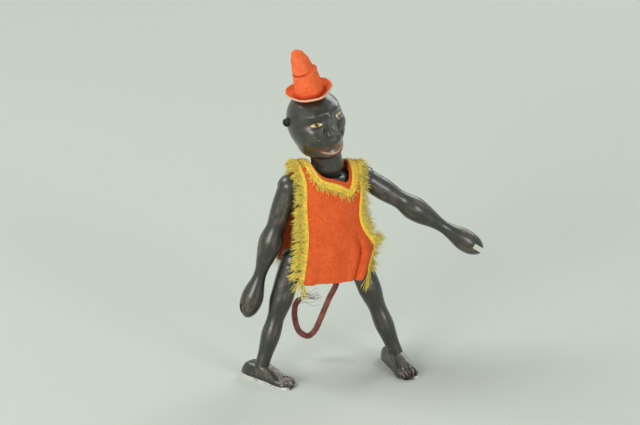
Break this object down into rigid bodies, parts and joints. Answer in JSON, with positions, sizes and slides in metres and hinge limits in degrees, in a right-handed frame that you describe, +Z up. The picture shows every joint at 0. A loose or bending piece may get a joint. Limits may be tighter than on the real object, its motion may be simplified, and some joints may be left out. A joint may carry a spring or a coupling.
{
  "type": "jointed wooden monkey toy",
  "caption": "Carved wooden monkey toy strung on elastic, with ball-jointed arms, legs and head, slotted hands, a fringed felt coat, a peaked felt cap and a bendable tail",
  "frame": {"origin": "middle of the bounding box in plan, on the plane of the soles", "axes": "+Z up; -Y is the way the figure faces; +X is the figure's own left side"},
  "size_m": [0.149, 0.06, 0.21],
  "materials": {
    "black_wood": "semi-gloss black paint rubbed through to brown",
    "bare_wood": "unpainted end grain",
    "elastic": "woven cotton cover",
    "orange_felt": "matted felt",
    "red_felt": "matted felt",
    "yellow_fringe": "teased wool fringe on a woven heading",
    "cream_cord": "twisted thread",
    "steel_wire": "dull drawn wire",
    "brown_winding": "thread wound tight over wire"
  },
  "bodies": {
    "torso": {"torso": "black_wood", "shoulder_cord": "elastic", "hip_cord": "elastic", "neck_cord": "elastic", "coat_front": "orange_felt", "coat_back": "orange_felt", "neck_fringe": "yellow_fringe", "front_fringe_right": "yellow_fringe", "front_fringe_left": "yellow_fringe", "back_fringe_right": "yellow_fringe", "back_fringe_left": "yellow_fringe", "tail_wire": "steel_wire", "tail_cover": "brown_winding"},
    "head_cord": {"head_cord": "elastic"},
    "head": {"head": "black_wood", "ear_right": "black_wood", "ear_left": "black_wood", "crown_plug": "bare_wood", "cap_crown": "red_felt", "cap_brim": "red_felt", "cap_edge_cord": "cream_cord"},
    "arm_link_right": {"arm_link_right": "elastic"},
    "arm_right": {"arm_right": "black_wood", "arm_cord_right": "elastic", "arm_plug_right": "bare_wood"},
    "leg_link_right": {"leg_link_right": "elastic"},
    "leg_right": {"leg_right": "black_wood", "foot_right": "black_wood", "leg_cord_right": "elastic", "leg_plug_right": "bare_wood"},
    "arm_link_left": {"arm_link_left": "elastic"},
    "arm_left": {"arm_left": "black_wood", "arm_cord_left": "elastic", "arm_plug_left": "bare_wood"},
    "leg_link_left": {"leg_link_left": "elastic"},
    "leg_left": {"leg_left": "black_wood", "foot_left": "black_wood", "leg_cord_left": "elastic", "leg_plug_left": "bare_wood"}
  },
  "joints": [
    {"name": "shoulder_swing_right", "type": "hinge", "parent": "torso", "child": "arm_link_right", "pos_m": [-0.04517, 0.0062, 0.12408], "axis": [0.9994, 0, -0.0349], "range_deg": [-124.5, 115.5]},
    {"name": "shoulder_raise_right", "type": "hinge", "parent": "arm_link_right", "child": "arm_right", "pos_m": [-0.04517, 0.0062, 0.12408], "axis": [0.0027, 0.9969, 0.0784], "range_deg": [-1.5, 75.5]},
    {"name": "shoulder_swing_left", "type": "hinge", "parent": "torso", "child": "arm_link_left", "pos_m": [0.0028, 0.0062, 0.1224], "axis": [0.9994, 0, -0.0349], "range_deg": [-103, 137]},
    {"name": "shoulder_raise_left", "type": "hinge", "parent": "arm_link_left", "child": "arm_left", "pos_m": [0.0028, 0.0062, 0.1224], "axis": [0.0102, -0.9563, 0.2922], "range_deg": [-31.9, 36.1]},
    {"name": "hip_swing_right", "type": "hinge", "parent": "torso", "child": "leg_link_right", "pos_m": [-0.04289, 0.0062, 0.07497], "axis": [0.9994, 0, -0.0349], "range_deg": [-30, 34]},
    {"name": "hip_splay_right", "type": "hinge", "parent": "leg_link_right", "child": "leg_right", "pos_m": [-0.04289, 0.0062, 0.07497], "axis": [-0.0012, 0.9994, -0.0349], "range_deg": [-6.5, 6.5]},
    {"name": "hip_swing_left", "type": "hinge", "parent": "torso", "child": "leg_link_left", "pos_m": [-0.00291, 0.0062, 0.07357], "axis": [0.9994, 0, -0.0349], "range_deg": [-21.5, 42.5]},
    {"name": "hip_splay_left", "type": "hinge", "parent": "leg_link_left", "child": "leg_left", "pos_m": [-0.00291, 0.0062, 0.07357], "axis": [0.0064, -0.9833, 0.1821], "range_deg": [-11.45, 19.55]},
    {"name": "head_nod", "type": "hinge", "parent": "torso", "child": "head_cord", "pos_m": [-0.02078, 0.0062, 0.13503], "axis": [0.9994, 0, -0.0349], "range_deg": [-12, 12]},
    {"name": "head_turn", "type": "hinge", "parent": "head_cord", "child": "head", "pos_m": [-0.02078, 0.0062, 0.13503], "axis": [-0.1736, 0, 0.9848], "range_deg": [-92, 58]}
  ]
}
